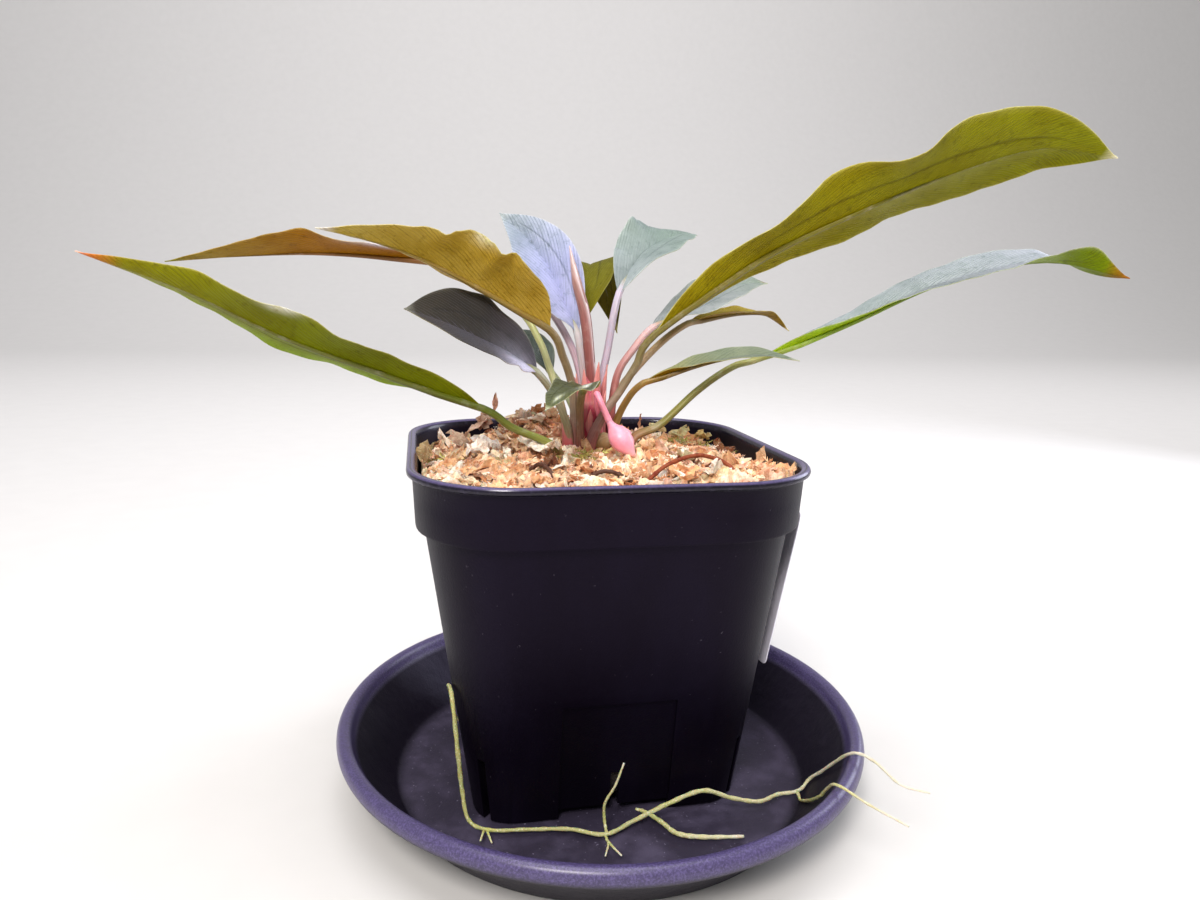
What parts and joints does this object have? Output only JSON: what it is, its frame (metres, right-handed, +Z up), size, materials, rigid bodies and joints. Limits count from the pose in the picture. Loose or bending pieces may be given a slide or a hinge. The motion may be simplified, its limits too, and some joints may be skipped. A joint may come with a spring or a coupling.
{
  "type": "potted homalomena",
  "caption": "Small aroid house plant with long lance-shaped leaves on a short crown, in a square black pot filled with moss, on a round black saucer, with a root over its rim.",
  "frame": {"origin": "under the middle of the pot, on the flat underside of the saucer", "axes": "+Z up, +X to the right along the pot's front, +Y to the back of the pot"},
  "size_m": [0.2704, 0.1614, 0.1875],
  "materials": {
    "leaf": "living leaf: silver-grey green above, olive to yellow green below, satin",
    "saucer_plastic": "black polypropylene, fine grain on the rim",
    "pot_plastic": "thin black polypropylene, soft sheen",
    "label_paper": "plain white paper",
    "spathe": "living spathe, salmon pink, waxy",
    "crown": "living stem, crimson pink",
    "root": "living root, pale yellow green, finely granular",
    "dry_stalk": "dry plant stalk",
    "moss": "dried sphagnum moss, cream, matt"
  },
  "bodies": {
    "root": {"leaf_left_low": "leaf", "leaf_left_high_rear": "leaf", "leaf_left_high_front": "leaf", "leaf_left_mid": "leaf", "leaf_left_short": "leaf", "leaf_rear_hidden": "leaf", "leaf_centre_upright": "leaf", "leaf_rear_drooping": "leaf", "leaf_front_small": "leaf", "leaf_right_centre": "leaf", "leaf_right_drooping": "leaf", "leaf_right_broad": "leaf", "leaf_right_low_narrow": "leaf", "leaf_right_high": "leaf", "leaf_right_low_long": "leaf", "leaf_rolled_young": "leaf", "saucer": "saucer_plastic", "pot": "pot_plastic", "label": "label_paper", "inflorescence": "spathe", "crown": "crown", "root": "root", "dry_stalk_long": "dry_stalk", "dry_stalk_short": "dry_stalk", "moss": "moss"}
  },
  "joints": []
}
